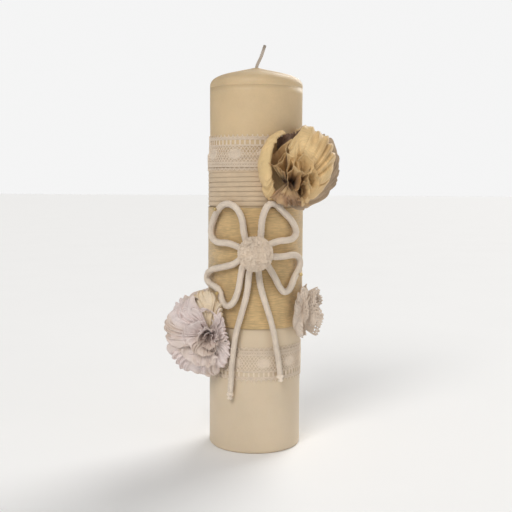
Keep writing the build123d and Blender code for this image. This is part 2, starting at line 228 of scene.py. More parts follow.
class Shape:
    """Points, quads and UVs that are gathered into one mesh."""

    def __init__(self):
        self.points, self.quads, self.uvs, self.count = [], [], [], 0

    def add(self, points, quads, uv):
        """Adds points, the quads between them and each quad corner's UV."""
        self.points.append(points.reshape(-1, 3))
        self.quads.append(quads.reshape(-1, 4) + self.count)
        self.uvs.append(uv.reshape(-1, 4, 2))
        self.count += len(self.points[-1])

    def grid(self, points, uv_size=(1, 1), wrap=(False, False), keep=None):
        """A sheet of quads between rows and columns of points; keep is a mask of the quads that stay."""
        n, m = points.shape[:2]
        i, j = np.meshgrid(np.arange(n - 1 + wrap[0]), np.arange(m - 1 + wrap[1]), indexing="ij")
        ii, jj = np.stack([i, i + 1, i + 1, i], -1), np.stack([j, j, j + 1, j + 1], -1)
        quads = (ii % n) * m + jj % m
        size = (n - 1 + wrap[0], m - 1 + wrap[1])
        uv = np.stack([ii / size[0] * uv_size[0], jj / size[1] * uv_size[1]], -1)
        if keep is not None:
            quads, uv = quads[keep], uv[keep]
        self.add(points, quads, uv)

    def tubes(self, lines, outward, radius, sides=6, closed=False):
        """Round threads along lines of shape (threads, points, 3): a circle carried in the plane of each
        line's outward direction and its side, with flat caps at open ends. The number of sides is even."""
        lines = np.asarray(lines, float)
        k, n = lines.shape[:2]
        if closed:
            along = np.roll(lines, -1, 1) - np.roll(lines, 1, 1)
        else:
            along = np.gradient(lines, axis=1)
        along = unit(along)
        out = unit(outward - (outward * along).sum(-1, keepdims=True) * along)
        side = np.cross(along, out)
        turn = np.arange(sides) / sides * TURN
        size = np.broadcast_to(radius, (k, n))[..., None, None]
        ring = lines[:, :, None] + size * (
            np.cos(turn)[:, None] * out[:, :, None] + np.sin(turn)[:, None] * side[:, :, None]
        )
        run = np.linalg.norm(np.diff(lines, axis=1), axis=-1)
        run = np.concatenate([np.zeros((k, 1)), np.cumsum(run, 1), run.sum(1, keepdims=True)],
                             1) / TEXTURE_STEP
        i, j = np.meshgrid(np.arange(n - (not closed)), np.arange(sides), indexing="ij")
        ii, jj = np.stack([i, i + 1, i + 1, i], -1), np.stack([j, j, j + 1, j + 1], -1)
        quads = (ii % n) * sides + jj % sides
        base = np.arange(k)[:, None, None, None] * n * sides
        uv = np.stack([run[:, ii], np.broadcast_to(jj / sides, (k, *jj.shape))], -1)
        caps = np.array([[0, a + 1, a + 2, a + 3] for a in range(0, sides - 2, 2)])
        self.add(ring, (quads + base)[..., ::-1], uv[..., ::-1, :])
        if not closed:
            last = self.count - ring.size // 3
            ends = np.concatenate([caps, caps[:, ::-1] + (n - 1) * sides])
            ends = (ends[None] + base[:, 0]).reshape(-1, 4) + last
            self.quads.append(ends)
            self.uvs.append(np.zeros((len(ends), 4, 2)))

    def close_ends(self, rings, sides, start=0):
        """Fans of quads over the first and last rings of a tube, whose rings were added in reverse from
        the point numbered start."""
        for row, order in ((0, -1), (rings - 1, 1)):
            ring = np.arange(sides) + row * sides + start
            caps = np.array([[ring[0], *ring[k + 1:k + 4]] for k in range(0, sides - 2, 2)])
            self.quads.append(caps[:, ::order])
            self.uvs.append(np.zeros((len(caps), 4, 2)))

    def make(self, name):
        """The mesh object, with quads whose corners meet made triangles."""
        points, quads, uvs = (np.concatenate(x) for x in (self.points, self.quads, self.uvs))
        mesh = bpy.data.meshes.new(name)
        mesh.vertices.add(len(points))
        mesh.vertices.foreach_set("co", points.astype(np.float32).ravel())
        mesh.loops.add(quads.size)
        mesh.loops.foreach_set("vertex_index", quads.astype(np.int32).ravel())
        mesh.polygons.add(len(quads))
        mesh.polygons.foreach_set("loop_start", np.arange(0, quads.size, 4, dtype=np.int32))
        mesh.polygons.foreach_set("loop_total", np.full(len(quads), 4, np.int32))
        layer = mesh.uv_layers.new(name="UVMap")
        layer.data.foreach_set("uv", uvs.astype(np.float32).ravel())
        mesh.update(calc_edges=True)
        mesh.validate()
        mesh.polygons.foreach_set("use_smooth", np.full(len(mesh.polygons), True))
        obj = bpy.data.objects.new(name, mesh)
        bpy.context.scene.collection.objects.link(obj)
        return obj


def lathe(shape, profile, columns=144):
    """A profile of (radius, height) turned about the axis. A radius of nothing becomes an open ring two
    thousandths of a millimetre across."""
    r, z = np.array(profile, float).T
    r = np.maximum(r, 1e-6)
    a = np.arange(columns) / columns * TURN
    points = about_axis(r[:, None], a, z[:, None])
    shape.grid(points[::-1], (1, 1), (False, True))


def finish_piece(obj, nodes, material, thickness=0):
    """Gives a piece its material, its wall and its body, and hides the CAD nodes it stands for."""
    obj.data.materials.append(material)
    if thickness:
        wall = obj.modifiers.new("wall", "SOLIDIFY")
        wall.thickness, wall.offset = thickness, 0
    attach(obj, "root")
    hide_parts(*nodes)


def area_of(points):
    """The area of each quad between a grid's points, as the sum of its two triangles."""
    a, b, c, d = points[:-1, :-1], points[1:, :-1], points[1:, 1:], points[:-1, 1:]
    halves = np.linalg.norm(np.cross(b - a, c - a), axis=-1) + np.linalg.norm(np.cross(c - a, d - a), axis=-1)
    return halves / 2


def run_of(line):
    """The length of a line of points."""
    return float(np.linalg.norm(np.diff(line, axis=0), axis=-1).sum())


# ---------------------------------------------------------------- finishes

class Wire:
    """A shader socket that adds, multiplies and compares as a number does."""

    def __init__(self, tree, socket=None):
        self.tree, self.socket = tree, socket

    def make(self, kind, settings=None, sockets=None, out=0):
        """Any other node, from its type, its settings and the values or links of its sockets."""
        node = self.tree.nodes.new(kind)
        for name, value in (settings or {}).items():
            if name == "stops":
                while len(node.color_ramp.elements) < len(value):
                    node.color_ramp.elements.new(0.5)
                for element, (place, shade) in zip(node.color_ramp.elements, value):
                    element.position, element.color = place, (*shade, 1)
            else:
                setattr(node, name, value)
        for name, value in (sockets or {}).items():
            if isinstance(value, Wire):
                self.tree.links.new(value.socket, node.inputs[name])
            else:
                node.inputs[name].default_value = value
        return Wire(self.tree, node.outputs[out])

    def math(self, operation, a, b=0.0):
        """A Math node on two numbers or sockets."""
        return self.make("ShaderNodeMath", {"operation": operation}, {0: a, 1: b})

    def mix(self, one, other):
        """A colour that goes from one to the other as this goes from 0 to 1."""
        one, other = (x if isinstance(x, Wire) else (*x, 1) for x in (one, other))
        sockets = {"Factor": self, 6: one, 7: other}
        return self.make("ShaderNodeMix", {"data_type": "RGBA", "clamp_factor": True}, sockets, 2)

    def between(self, low, high):
        """0 below low, 1 above high, smooth between."""
        sockets = {"Value": self, "From Min": low, "From Max": high}
        return self.make("ShaderNodeMapRange", {"interpolation_type": "SMOOTHSTEP"}, sockets)

    def __add__(self, other):
        return self.math("ADD", self, other)

    def __radd__(self, other):
        return self.math("ADD", other, self)

    def __sub__(self, other):
        return self.math("SUBTRACT", self, other)

    def __mul__(self, other):
        return self.math("MULTIPLY", self, other)

    def sin(self):
        """The sine of this number."""
        return self.math("SINE", self)


def finish(name, shade, constants):
    """A material: shade is given the coordinates and says what varies; constants are set on the shader."""
    material = bpy.data.materials.new(name)
    material.use_nodes = True
    tree = material.node_tree
    shader = tree.nodes["Principled BSDF"]
    for key, value in constants.items():
        shader.inputs[key].default_value = value
    start = Wire(tree)
    places = start.make("ShaderNodeTexCoord", out=3)
    uv = start.make("ShaderNodeTexCoord", out=2)
    found = shade(places, uv)
    height = found.pop("height", None)
    if height is not None:
        sockets = {"Height": height, "Distance": found.pop("rise"), "Strength": 1.0}
        found["Normal"] = start.make("ShaderNodeBump", None, sockets)
    for key, value in found.items():
        tree.links.new(value.socket, shader.inputs[key])
    return material


def noise(places, scale, detail=3.0, stretch=None, roughness=0.55):
    """Noise from 0 to 1, with features a metre over scale across; stretch scales each axis first."""
    if stretch:
        places = places.make("ShaderNodeMapping", None, {"Vector": places, "Scale": stretch})
    sockets = {"Vector": places, "Scale": scale, "Detail": detail, "Roughness": roughness}
    return places.make("ShaderNodeTexNoise", None, sockets)


def tones(base, dark, light):
    """A colour and its darker and lighter neighbours."""
    base = tuple(base)
    return tuple(c * dark for c in base), tuple(min(c * light, 1) for c in base)


def wax_finish(base):
    """Satin wax, paler towards the foot: faint cloudy mottling, a fine grain and slow handling marks."""
    low, high = tones(base, 0.93, 1.05)
    foot = tuple(c * k for c, k in zip(base, (1.04, 1.13, 1.36)))

    def shade(places, uv):
        height = places.make("ShaderNodeSeparateXYZ", None, {0: places}, 2)
        cloud = noise(places, 38, 4)
        grain = noise(places, 900, 2)
        slow = noise(places, 90, 2)
        mottle = (cloud * 0.8 + grain * 0.2).between(0.32, 0.68)
        return {
            "Base Color": height.between(0.06, 0.24).mix(mottle.mix(tones(foot, 0.95, 1)[0], foot),
                                                         mottle.mix(low, high)),
            "Roughness": 0.40 + slow * 0.22,
            "height": slow * 0.7 + grain * 0.3,
            "rise": 0.00022,
        }

    return finish("ivory wax", shade, {
        "Subsurface Weight": 0.12, "Subsurface Radius": (1.0, 0.6, 0.3), "Subsurface Scale": 0.004,
        "IOR": 1.44,
    })


def cloth_finish(name, base, pitch, rise, rough=0.7, sheen=0.15, streak=0.0, depth=0.12, warm=None,
                 heart=None,
                 reach=(2, 16)):
    """Woven cloth on UVs in millimetres: over and under threads, tone changes and uneven yarns. A heart
    colour is painted shade where the cloth is gathered deep, and fades out between the two distances along
    it."""
    low, high = tones(base, 1 - depth, 1 + depth * 0.7)

    def shade(places, uv):
        across, along = (uv.make("ShaderNodeSeparateXYZ", None, {0: uv}, axis) for axis in (0, 1))
        rate = TURN / pitch
        weave = (across * rate).sin() * (along * rate).sin() * 0.5 + 0.5
        yarn = noise(uv, 0.55, 3, (0.25, 2.6, 1))
        cloud = noise(places, 130, 3)
        tone = (cloud * 0.55 + yarn * (0.45 + streak) - streak * 0.5).between(0.3, 0.72)
        shown = tone.mix(low, high)
        if warm:
            shown = noise(places, 45, 2).between(0.42, 0.66).mix(shown, warm)
        # painted shade: the heart colour darkens the cloth near its gathered apex, where its folds lie in
        # shade
        if heart:
            out = (along + (noise(uv, 0.22, 2, (1, 0.3, 1)) - 0.5) * 14).between(*reach)
            shown = out.mix(heart, shown)
        return {
            "Base Color": shown,
            "Roughness": rough - 0.1 + tone * 0.2,
            "height": weave * 0.5 + yarn * (0.5 + streak),
            "rise": rise,
        }

    return finish(name, shade, {"Sheen Weight": sheen, "Sheen Roughness": 0.4})


def fibre_finish(name, base, scale=1800, rise=0.0002, sheen=0.5, depth=0.1, rough=0.88):
    """Wool, felt or thread on object coordinates: a matted grain at two sizes."""
    low, high = tones(base, 1 - depth, 1 + depth * 0.6)

    def shade(places, uv):
        fine, coarse = noise(places, scale, 4), noise(places, scale / 6, 3)
        mat = fine * 0.6 + coarse * 0.4
        return {
            "Base Color": mat.between(0.35, 0.65).mix(low, high),
            "Roughness": rough - 0.08 + fine * 0.16,
            "height": mat,
            "rise": rise,
        }

    return finish(name, shade, {"Sheen Weight": sheen, "Sheen Roughness": 0.5})


def metal_finish(name, base, rough):
    """Bright metal with fine drawn lines and a little tarnish."""
    low, high = tones(base, 0.85, 1.05)

    def shade(places, uv):
        lines, stain = noise(places, 2600, 2, (1, 1, 6)), noise(places, 300, 3)
        return {
            "Base Color": stain.between(0.35, 0.7).mix(low, high),
            "Roughness": rough + lines * 0.15,
            "height": lines,
            "rise": 0.00002,
        }

    return finish(name, shade, {"Metallic": 1.0})


def wick_finish(base):
    """Waxed cotton that darkens at the trimmed tip."""
    low, high = tones(base, 0.82, 1.05)

    def shade(places, uv):
        height = places.make("ShaderNodeSeparateXYZ", None, {0: places}, 2)
        tip = height.between(0.2995, 0.3050)
        grain = noise(places, 2400, 3)
        return {
            "Base Color": (tip * 0.55).mix(grain.between(0.3, 0.7).mix(low, high), (0.16, 0.12, 0.09)),
            "Roughness": 0.62 + grain * 0.2,
            "height": grain,
            "rise": 0.0001,
        }

    return finish("waxed cotton", shade, {"Sheen Weight": 0.1})


# ---------------------------------------------------------------- stage

def make_stage():
    """A wide pale floor under a pale surround, a soft sun from the front left, a weaker one behind, a broad
    lamp at the right and the camera."""
    bpy.context.scene.view_settings.view_transform = "Standard"
    shape = Shape()
    x, y = np.meshgrid(np.linspace(-9, 9, 40), np.linspace(-3, 15, 40), indexing="ij")
    shape.grid(np.stack([x, y, 0 * x], -1))
    floor = shape.make("pale_floor")
    floor.data.materials.append(finish(
        "pale floor",
        lambda places, uv: {
            "Base Color": noise(places, 6, 2).mix((0.93, 0.93, 0.93), (0.96, 0.96, 0.96)),
            "Roughness": 0.85 + noise(places, 40, 2) * 0.1,
        },
        {"Specular IOR Level": 0.1},
    ))
    world = bpy.data.worlds.new("pale surround")
    bpy.context.scene.world = world
    world.use_nodes = True
    tree = world.node_tree
    seen = Wire(tree).make("ShaderNodeLightPath")
    tree.links.new((seen * 0.63 + 0.28).socket, tree.nodes["Background"].inputs["Strength"])
    tree.nodes["Background"].inputs["Color"].default_value = (1, 1, 1, 1)
    lamps = {
        "key": ("SUN", (-0.42, -1.0, 0.95), 28, 1.42),
        "back": ("SUN", (0.6, 1.0, 0.9), 40, 2.1),
        "side": ("AREA", (1.2, -0.8, 0.35), 0.9, 2.4),
    }
    for name, (kind, place, size, power) in lamps.items():
        data = bpy.data.lights.new(name, kind)
        data.energy, data.color = power, (1.0, 0.985, 0.96)
        if kind == "SUN":
            data.angle = math.radians(size)
        else:
            data.size = size
        lamp = bpy.data.objects.new(name, data)
        aim = Vector((0, 0, 0.15)) - Vector(place)
        lamp.matrix_world = Matrix.Translation(place) @ aim.to_track_quat("-Z", "Y").to_matrix().to_4x4()
        bpy.context.scene.collection.objects.link(lamp)
    data = bpy.data.cameras.new("camera")
    data.lens, data.sensor_width, data.shift_x = 57.8, 36.0, 0.0012
    camera = bpy.data.objects.new("camera", data)
    tilt, roll = math.radians(90 - 4.957), 0.0059
    camera.matrix_world = (
        Matrix.Translation((0, -0.6314, 0.1998)) @ Matrix.Rotation(tilt, 4, "X") @ Matrix.Rotation(roll, 4,
                                                                                                   "Z")
    )
    bpy.context.scene.collection.objects.link(camera)
    bpy.context.scene.camera = camera


# ---------------------------------------------------------------- pillar

def make_pillar(sizes, colours):
    """The wax pillar and its plaited wick; the metal foot and the felt discs take their finishes."""
    r = sizes.wax_radius / MM
    side = [(r, h) for h in np.linspace(2.2, 271.5, 60)]
    crown = through(
        [(r, 0, 271.5), (r, 0, 273.8), (r - 0.5, 0, 275.9), (r - 2.0, 0, 278.0), (r - 5.0, 0, 279.9),
         (r - 10.4, 0, 281.9), (r - 22.5, 0, 284.9), (5.7, 0, 286.5), (3.4, 0, 287.2), (2.3, 0, 287.6),
         (1.7, 0, 287.3), (1.45, 0, 286.0)], 60)[:, [0, 2]]
    foot = [(0, 0.42), (9.12, 0.42), (9.15, 0), (20, 0), (r - 2.4, 0), (r - 1.4, 0.12), (r - 0.6, 0.55),
            (r - 0.12, 1.3)]
    profile = np.array([*foot, *side, *crown, (0, 286.0)]) * MM
    shape = Shape()
    lathe(shape, profile)
    points = shape.points[0]
    a, z = np.arctan2(points[:, 0], -points[:, 1]), points[:, 2]
    swell = 0.00010 * np.sin(3 * a + 40 * z) + 0.00008 * np.sin(5 * a - 90 * z + 1)
    swell *= smoothstep((z - 0.004) / 0.01) * (np.hypot(points[:, 0], points[:, 1]) > 0.003)
    points[:, 2] += swell * (z > 0.2765)
    out = unit(points * (1, 1, 0))
    points += out * (swell * (z < 0.2765))[:, None]
    wax = shape.make("wax_pillar")
    finish_piece(wax, ["candle_body"], wax_finish(colours.wax))

    line = evenly(through(np.array([
        (0, 0, 280), (0, 0, 284), (-0.1, 0, 286.9), (0.4, 0, 289.4), (1.7, 0.1, 292.5), (3.2, 0.1, 295.6),
        (4.4, 0, 298.8), (5.4, 0, 301.8), (6.3, 0, 304.4)]) * MM, 200), 150)
    along = unit(np.gradient(line, axis=0))
    side = np.broadcast_to(np.array([0.0, 1.0, 0.0]), line.shape)
    out = unit(np.cross(side, along))
    phase = np.linspace(0, 6.2 * TURN, len(line))
    strands = []
    for k in range(3):
        t = phase + k * TURN / 3
        strands.append(line + 0.00066 * np.sin(t)[:, None] * out + 0.00046 * np.sin(2 * t)[:, None] * side)
    shape = Shape()
    shape.tubes(np.array(strands), out[None], sizes.wick_strand, 10)
    wick = shape.make("wick_plait")
    finish_piece(wick, ["wick"], wick_finish(colours.wick))

    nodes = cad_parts
    tin = metal_finish("tinplate", (0.62, 0.62, 0.60), 0.28)
    felt = fibre_finish("ivory felt", (0.66, 0.56, 0.44), 1500, 0.0003)
    gilt = metal_finish("gilt", (0.72, 0.55, 0.28), 0.22)
    steel = metal_finish("pin steel", (0.75, 0.74, 0.72), 0.2)
    thread = fibre_finish("binding thread", (0.68, 0.58, 0.46), 2600, 0.0001)
    dressed = {
        "wick_foot": tin, "pin_beads": gilt, "pin_shanks": steel, "pompom_tie": thread, "bow_knot_disc": felt,
        "organza_flower_felt": felt, "satin_flower_felt": felt, "lace_flower_felt": felt,
    }
    for name, material in dressed.items():
        mesh = nodes[name].data
        mesh.materials.clear()
        mesh.materials.append(material)


# ---------------------------------------------------------------- bands

def make_ribbon(sizes, colours):
    """The silk ribbon: a cylinder whose end laps over its start at the back, with slubs raised along it."""
    low, wide = sizes.ribbon_low, sizes.ribbon_width
    lap = 0.36
    u, v = np.meshgrid(np.linspace(0, 1, 361), np.linspace(0, 1, 90), indexing="ij")
    angle = math.pi + 0.16 + u * (TURN + lap) - TURN - lap / 2
    height = low + v * wide + 0.00012 * waves(3, u * 4)
    radius = RIBBON_RADIUS + RIBBON_LAP_RISE * smoothstep((u - 0.93) / 0.035)
    slub = np.zeros_like(u)
    rng = np.random.default_rng(11)
    for place, wander, start, run in zip(rng.uniform(0, 1, 90), rng.normal(0, 0.002, 90),
                                         rng.uniform(0, 1, 90), rng.uniform(0.04, 0.25, 90)):
        off = (v - place - wander * np.sin(9 * u)) / 0.006
        slub += np.exp(-off**2) * np.clip(1 - ((u - start) / run) ** 2, 0, 1)
    radius = radius + 0.00007 * np.minimum(slub, 1.5)
    points = about_axis(radius, angle, height)
    shape = Shape()
    shape.grid(points, (TURN * 36 + 14, wide / MM))
    ribbon = shape.make("silk_band")
    silk = cloth_finish("straw silk", colours.ribbon, 0.62, 0.0003, rough=0.52, sheen=0.35, streak=0.5,
                        depth=0.2)
    finish_piece(ribbon, ["silk_ribbon"], silk, 0.0004)


def make_wrap(sizes, colours):
    """The wound cord: a flattened round section carried up a helix, with a fine twill along it."""
    turns, columns, sides = 10.9, 110, 14
    t = np.linspace(0, turns, int(turns * columns) + 1)
    a = math.pi + t * TURN
    low = sizes.ribbon_low + sizes.ribbon_width + 0.0018
    z = low + sizes.wrap_pitch * t - 0.0004 + 0.00007 * waves(5, t / turns, 6, 4, 20)
    phi = np.arange(sides) / sides * TURN
    wide, thick = 0.00172, 0.00052
    along_z = wide * np.sign(np.sin(phi)) * np.abs(np.sin(phi)) ** 0.62
    out = thick * np.sign(np.cos(phi)) * np.abs(np.cos(phi)) ** 0.75
    rib = 1 + 0.05 * np.sin(t[:, None] * TURN * 37.3 + phi * 2)
    radius = WRAP_RADIUS + out * rib
    shape = Shape()
    points = about_axis(radius, a[:, None], z[:, None] + along_z)
    shape.grid(points[:, ::-1], (turns * 223, 8.0), (False, True))
    shape.close_ends(len(t), sides)
    wrap = shape.make("wound_flat_cord")
    cotton = cloth_finish("flat cord", colours.wrap, 0.8, 0.00022, rough=0.78, sheen=0.2, depth=0.1)
    finish_piece(wrap, ["cord_wrap"], cotton)


def lace_threads(width, flip):
    """One lace band as flat threads (turn, height, standing off), with its parts' radii, in millimetres.

    From the scalloped edge up: scallops, a row of zigzags, a plain header, a trellis that parts round a
    solid oval once in each repeat, a header, a ladder of upright bars, a header and a row of picots."""
    repeats, per = 10, 6
    cells, repeat = repeats * per, TURN * 35.6 / 10
    ring = np.linspace(0, 1, 720, endpoint=False)
    parts = []

    def closed(height, radius, off=0.0, shift=0.0):
        """A thread that goes all the way round."""
        x = ring * repeats * repeat + shift
        parts.append((np.stack([x, height * np.ones_like(ring), off * np.ones_like(ring)], -1)[None],
                      radius, True))

    cell = ring * cells * TURN
    closed(1.6 - 1.3 * np.abs(np.sin(cell / 2)) ** 0.8, 0.34)
    closed(2.25 - 1.05 * np.abs(np.sin(cell / 2)), 0.22, 0.1)
    for base in (2.7, 5.35, 17.7, 22.3):
        for k in (0, 1, 2):
            closed(base + 0.42 * k + 0.10 * np.sin(ring * TURN * 180 + k * 2.1), 0.235,
                   0.10 * np.cos(ring * TURN * 180 + k * 2.1))
    tooth = np.abs((ring * cells + 0.25) % 1 - 0.5) * 4 - 1
    closed(4.45 + 0.85 * tooth, 0.27, 0.05)
    closed(4.45 - 0.85 * tooth, 0.27, -0.05)
    closed(24.0 + 1.75 * np.sin(cell / 2) ** 2, 0.34, shift=0.9 * np.sin(cell))
    closed(23.7 + 0.10 * np.sin(cell), 0.26)

    bars = np.arange(cells) * repeat / per
    h = np.linspace(18.6, 22.4, 5)
    for shift in (-0.5, 0.0, 0.5):
        x = np.broadcast_to(bars[:, None] + shift * (1 - 0.25 * np.sin((h - 18.6) / 3.8 * math.pi)),
                            (cells, 5))
        parts.append((np.stack([x, np.broadcast_to(h, x.shape), np.zeros_like(x)], -1), 0.28, False))

    count, steps = 8, 17
    y = np.linspace(6.1, 17.9, steps)
    for lean, off in ((1, 0.10), (-1, -0.10)):
        start = (np.arange(count * repeats) + 0.5) * repeat / count
        x = start[:, None] + lean * (y - OVAL_HEIGHT) * 0.80
        x, yy = part_round_ovals(x, np.broadcast_to(y, x.shape), repeat)
        parts.append((np.stack([x, yy, off * np.ones_like(x)], -1), 0.33, False))
    spoke = (np.arange(18) + 0.5) / 18 * TURN
    q = np.linspace(1.0, 1.62, 4)
    x = (np.arange(repeats) * repeat)[:, None, None] + 4.3 * np.cos(spoke)[:, None] * q
    yy = OVAL_HEIGHT + 3.1 * np.sin(spoke)[:, None] * q + 0 * x
    parts.append((np.stack([x, yy, 0.12 + 0 * x], -1).reshape(-1, 4, 3), 0.24, False))
    oval = np.linspace(0, TURN, 40, endpoint=False)
    for size in (1.0, 0.9):
        x = (np.arange(repeats) * repeat)[:, None] + 4.3 * size * np.cos(oval)
        yy = OVAL_HEIGHT + 3.1 * size * np.sin(oval) + 0 * x
        parts.append((np.stack([x, yy, 0.12 + 0 * x], -1), 0.24, True))
    for k in range(11):
        h = (k - 5) * 0.5
        half = 4.1 * math.sqrt(max(1 - (h / 3.05) ** 2, 0.02))
        t = np.linspace(-half, half, 14)
        x = (np.arange(repeats) * repeat)[:, None] + t
        wavy = 0.09 * np.cos(t / 0.55 * math.pi + k * math.pi)
        parts.append((np.stack([x, OVAL_HEIGHT + h + 0 * x, 0.12 + wavy + 0 * x], -1), 0.27, False))
    out = []
    for line, radius, is_closed in parts:
        line = line.copy()
        line[..., 1] = line[..., 1] * width / LACE_PATTERN_HEIGHT
        if flip:
            line[..., 1] = width - line[..., 1]
        out.append((line, radius, is_closed))
    return out, repeats * repeat


def part_round_ovals(x, y, repeat):
    """Moves trellis points out of the ovals: a point at q oval radii goes to the cube root of q cubed
    plus one."""
    dx = (x / repeat + 0.5) % 1 * repeat - repeat / 2
    dy = y - OVAL_HEIGHT
    q = np.sqrt((dx / 4.4) ** 2 + (dy / 3.2) ** 2) + 1e-3
    grow = (q**3 + 1) ** (1 / 3) / q
    new_y = np.clip(OVAL_HEIGHT + dy * grow, 6.0, 18.0)
    return x + dx * (grow - 1), new_y


def make_lace(name, node, low, flip, skin, sizes, material):
    """A lace band: its flat threads rolled onto the candle at the height's own radius."""
    parts, around = lace_threads(sizes.lace_width / MM, flip)
    shape = Shape()
    cloth = 0.0
    for line, radius, is_closed in parts:
        angle = line[..., 0] / around * TURN + 0.19
        height = low + line[..., 1] * MM
        r = skin(height) + (line[..., 2] + 0.02) * MM
        points, outward = about_axis(r, angle, height), about_axis(1, angle, 0)
        shape.tubes(points, outward, radius * MM, 4 if is_closed else 6, is_closed)
        cloth += np.linalg.norm(np.diff(points, axis=1), axis=-1).sum() * radius * MM * math.pi
    band = shape.make(name)
    finish_piece(band, [node], material)


# ---------------------------------------------------------------- bow

def nurbs_line(name, points):
    """The smooth line of an open NURBS spline with these control points."""
    curve = bpy.data.curves.new(name, "CURVE")
    curve.dimensions, curve.resolution_u = "3D", 16
    spline = curve.splines.new("NURBS")
    spline.points.add(len(points) - 1)
    spline.points.foreach_set("co", np.concatenate([points, np.ones((len(points), 1))], 1).ravel())
    spline.order_u = 3
    spline.use_endpoint_u = True
    holder = bpy.data.objects.new(name, curve)
    bpy.context.scene.collection.objects.link(holder)
    mesh = bpy.data.meshes.new_from_object(holder)
    line = np.empty(len(mesh.vertices) * 3)
    mesh.vertices.foreach_get("co", line)
    bpy.data.objects.remove(holder)
    bpy.data.curves.remove(curve)
    bpy.data.meshes.remove(mesh)
    return line.reshape(-1, 3)


def knitted_tube(shape, line, radius, seed):
    """A soft knitted cord along a line: a circle with eight shallow wales and rows of stitches, uneven in
    girth."""
    sides, row = 32, 0.0021
    along = unit(np.gradient(line, axis=0))
    outward = unit(line * (1, 1, 0))
    out = unit(outward - (outward * along).sum(1, keepdims=True) * along)
    side = np.cross(along, out)
    run = np.concatenate([[0], np.cumsum(np.linalg.norm(np.diff(line, axis=0), axis=1))])
    phi = np.arange(sides) / sides * TURN
    s = run[:, None]
    stitch = np.cos(s / row * TURN + 1.6 * np.abs((phi / TURN * 8) % 1 - 0.5) * TURN)
    wale = np.cos(phi * 8)
    r = np.asarray(radius).reshape(-1, 1) * (1 + 0.045 * waves(seed, run / run[-1], 7, 3, 24)[:, None])
    r = r + 0.00021 * stitch + 0.00010 * wale
    ends = smoothstep(np.minimum(s, run[-1] - s) / 0.0012)
    r = r * (0.55 + 0.45 * np.sqrt(ends))
    circle = np.cos(phi)[:, None] * out[:, None] + np.sin(phi)[:, None] * side[:, None]
    points = line[:, None] + r[..., None] * circle
    start = shape.count
    shape.grid(points[:, ::-1], (run[-1] / MM, 15.0), (False, True))
    shape.close_ends(len(line), sides, start)


def end_knot_shape(shape, end, along, size):
    """A tail's end: a tight overhand knot as a lobed bead, then a short frayed flare."""
    outward = unit(end * (1, 1, 0))
    out = unit(outward - (outward @ along) * along)
    side = np.cross(along, out)
    t = np.linspace(0, 1, 44)[:, None]
    sides = 36
    phi = np.arange(sides) / sides * TURN
    bead = np.sin(np.clip(t / 0.62, 0, 1) * math.pi) ** 0.6
    flare = smoothstep((t - 0.5) / 0.42)
    r = size * (0.50 + 0.50 * bead + 0.22 * flare)
    r = r * (1 + 0.10 * np.sin(2 * phi + t * 11) * bead + 0.09 * np.sin(9 * phi) * flare)
    r = r * np.where(t > 0.985, 0.55, 1.0)
    reach = t * 5.6 * MM - 0.0009 + 0.0003 * flare * np.sin(5 * phi)
    points = end + along * reach[..., None] + r[..., None] * (
        np.cos(phi)[:, None] * out + np.sin(phi)[:, None] * side)
    start = shape.count
    shape.grid(points[:, ::-1], (6, 10), (False, True))
    shape.close_ends(len(t), sides, start)


def cord_line(name, points):
    """A cord's smooth line, with its points a fixed step apart."""
    line = nurbs_line(name, points)
    return evenly(line, int(run_of(line) / CORD_STEP))


def make_bow(sizes, colours):
    """The bow: four loops and two knotted tails of one soft cord."""
    material = cloth_finish("soft knitted cord", colours.bow, 1.1, 0.0006, rough=0.85, sheen=0.3, depth=0.14)
    girth = sizes.cord_diameter / 2
    for seed, (node, (route, long)) in enumerate(BOW_LOOPS.items()):
        points = face_points(route)
        line = cord_line(node, points)
        shape = Shape()
        knitted_tube(shape, line, girth * LOOP_GIRTH, seed)
        loop = shape.make(node.replace("bow_loop", "cord_loop"))
        finish_piece(loop, [node], material)
    for seed, (node, (route, long, knot_node)) in enumerate(BOW_TAILS.items()):
        points = face_points(route)
        line = cord_line(node, points)
        shape = Shape()
        taper = 1 - TAIL_TAPER * smoothstep(np.linspace(0, 1, len(line)) / 0.9)
        knitted_tube(shape, line, girth * TAIL_GIRTH * taper, seed + 10)
        tail = shape.make(node.replace("bow_tail", "cord_tail"))
        finish_piece(tail, [node], material)
        shape = Shape()
        end_knot_shape(shape, line[-1], unit(line[-1] - line[-12]), 0.0026)
        knot = shape.make(node.replace("bow_tail", "cord_end"))
        finish_piece(knot, [knot_node], material)


